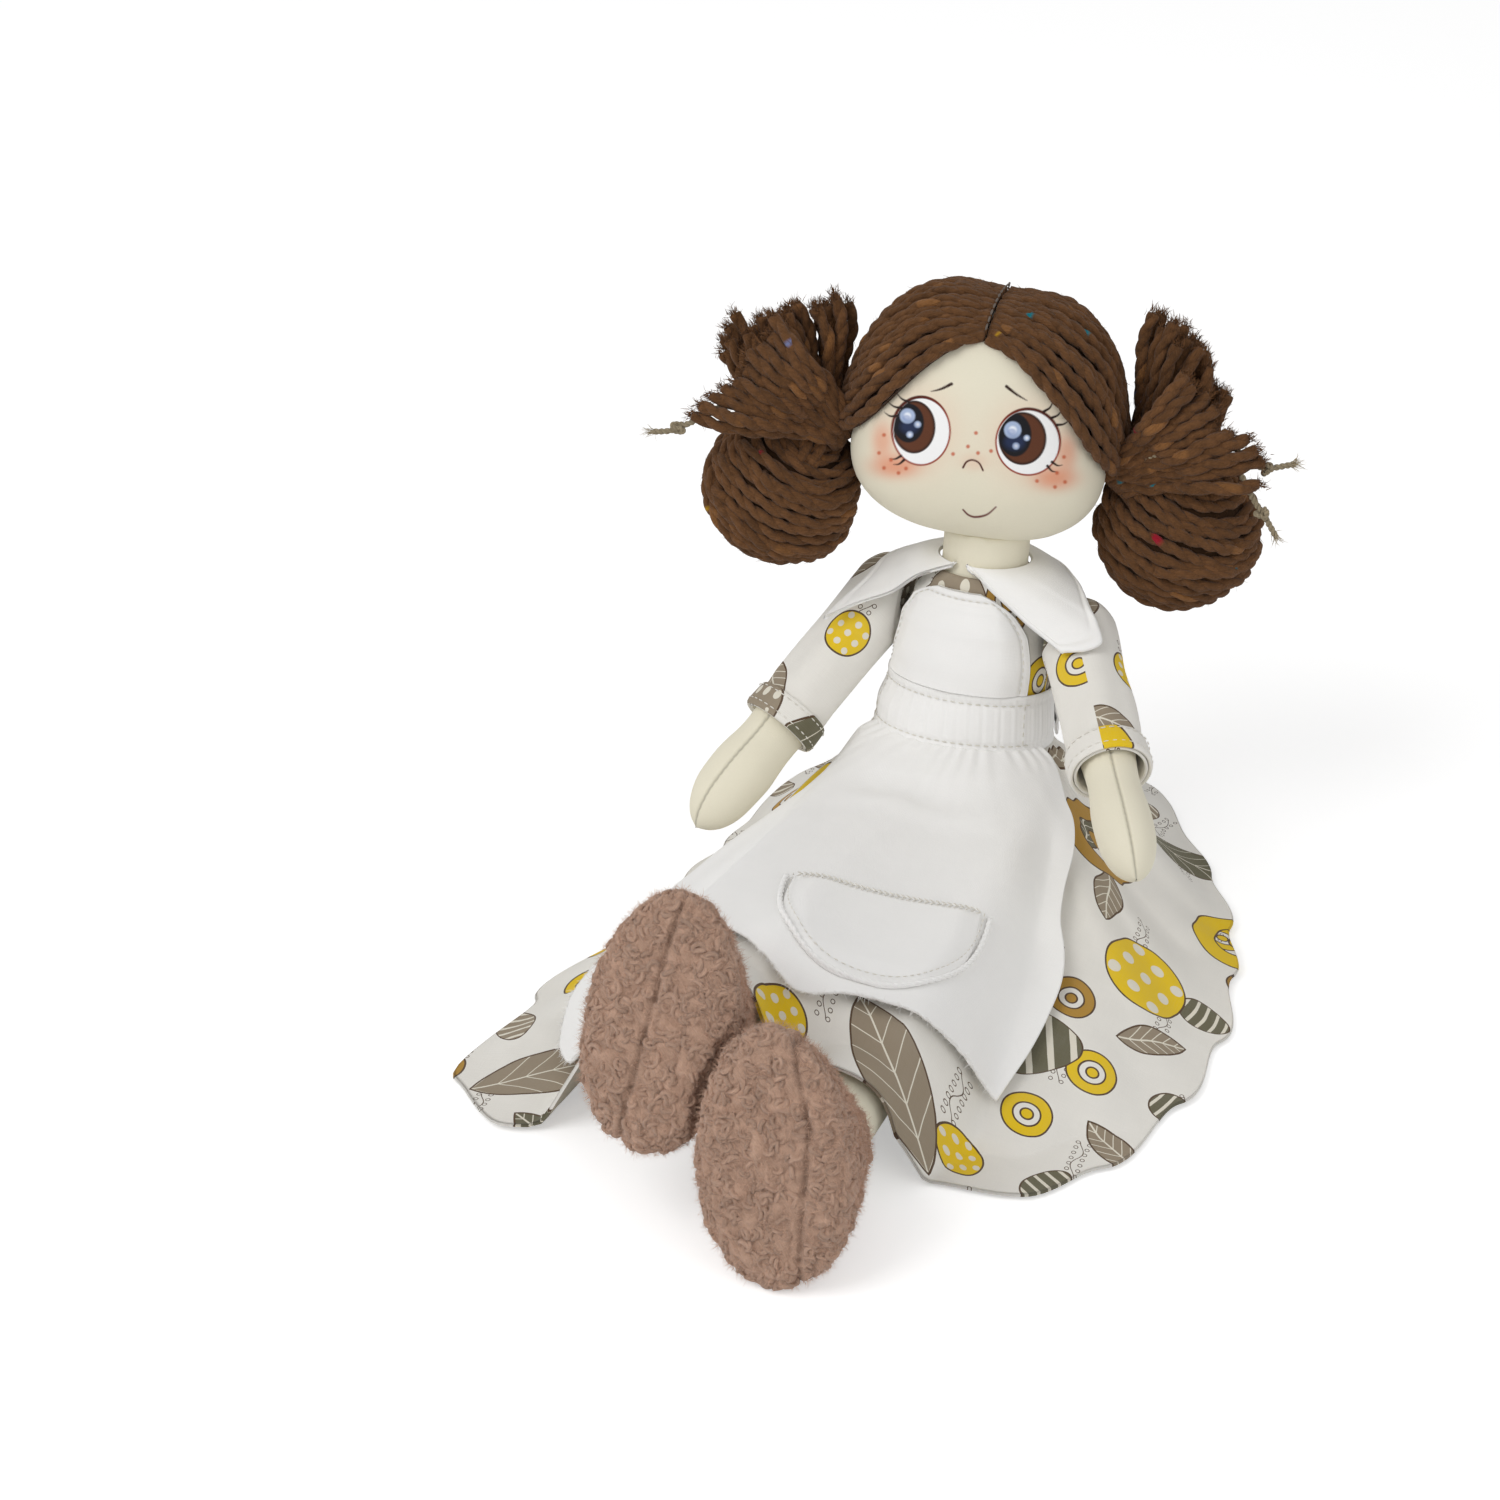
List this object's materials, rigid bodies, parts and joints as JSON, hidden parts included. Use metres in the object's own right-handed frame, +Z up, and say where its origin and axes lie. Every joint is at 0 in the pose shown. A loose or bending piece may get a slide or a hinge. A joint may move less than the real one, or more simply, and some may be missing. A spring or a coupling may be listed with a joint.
{
  "type": "cloth doll",
  "caption": "Sitting handmade cloth doll with yarn buns, printed dress, white apron and wool boots; head turns, arms swing, body folds at the hips.",
  "frame": {"origin": "middle of the flat under the hips on which the doll sits, on the floor", "axes": "+Z up, -Y the way the legs point (the doll's front), +X the doll's left"},
  "size_m": [0.1983, 0.2975, 0.1853],
  "materials": {
    "skin_cotton": "plain cream cotton, matt",
    "printed_cotton": "white cotton printed with leaves and flowers in taupe, olive grey and yellow",
    "white_linen": "white linen with a visible weave and topstitching",
    "hair_yarn": "brown tweed wool yarn with coloured flecks",
    "tie_string": "beige linen string",
    "boot_wool": "nubby mauve-brown wool cloth",
    "stick_wood": "plain dowel"
  },
  "bodies": {
    "hips": {"hip_band": "white_linen", "skirt": "printed_cotton", "apron_skirt": "white_linen", "apron_pocket": "white_linen"},
    "trunk": {"torso": "skin_cotton", "neck_stick": "stick_wood", "shoulder_thread": "tie_string", "bodice": "printed_cotton", "apron_waistband": "white_linen", "apron_bib": "white_linen", "apron_knot": "white_linen", "apron_end_left": "white_linen", "apron_end_right": "white_linen", "collar_left": "white_linen", "collar_right": "white_linen"},
    "head": {"head": "skin_cotton", "hair_left": "hair_yarn", "hair_right": "hair_yarn", "parting_stitch": "tie_string", "bun_left": "hair_yarn", "bun_right": "hair_yarn", "tassel_left": "hair_yarn", "tassel_right": "hair_yarn", "tie_left": "tie_string", "tie_right": "tie_string", "tie_end_left_upper": "tie_string", "tie_end_left_lower": "tie_string", "tie_end_right": "tie_string"},
    "arm_left": {"arm_left": "skin_cotton", "sleeve_left": "printed_cotton", "cuff_left": "printed_cotton"},
    "arm_right": {"arm_right": "skin_cotton", "sleeve_right": "printed_cotton", "cuff_right": "printed_cotton"},
    "leg_left": {"leg_left": "skin_cotton", "boot_left": "boot_wool"},
    "leg_right": {"leg_right": "skin_cotton", "boot_right": "boot_wool"}
  },
  "joints": [
    {"name": "hip_fold", "type": "hinge", "parent": "hips", "child": "trunk", "pos_m": [0, 0, 0.0215], "axis": [1, 0, 0], "range_deg": [-45, 10], "deforming": ["skirt", "apron_skirt", "apron_pocket"]},
    {"name": "head_turn", "type": "hinge", "parent": "trunk", "child": "head", "pos_m": [0, 0.01259, 0.10101], "axis": [0, 0.1564, 0.9877], "range_deg": [-84, 36]},
    {"name": "shoulder_left", "type": "hinge", "parent": "trunk", "child": "arm_left", "pos_m": [0.0325, 0.0041, 0.08403], "axis": [0.9848, -0.1715, 0.0272], "range_deg": [-16, 30]},
    {"name": "shoulder_right", "type": "hinge", "parent": "trunk", "child": "arm_right", "pos_m": [-0.0325, 0.01542, 0.08224], "axis": [0.9848, -0.1715, 0.0272], "range_deg": [-42, 4]},
    {"name": "leg_left_roll", "type": "hinge", "parent": "hips", "child": "leg_left", "pos_m": [0.017, -0.0241, 0.0215], "axis": [0.0414, 0.9989, 0.0206], "range_deg": [0, 25]},
    {"name": "leg_right_roll", "type": "hinge", "parent": "hips", "child": "leg_right", "pos_m": [-0.017, -0.0241, 0.0215], "axis": [0.0633, 0.9887, -0.1359], "range_deg": [-9, 0]}
  ]
}
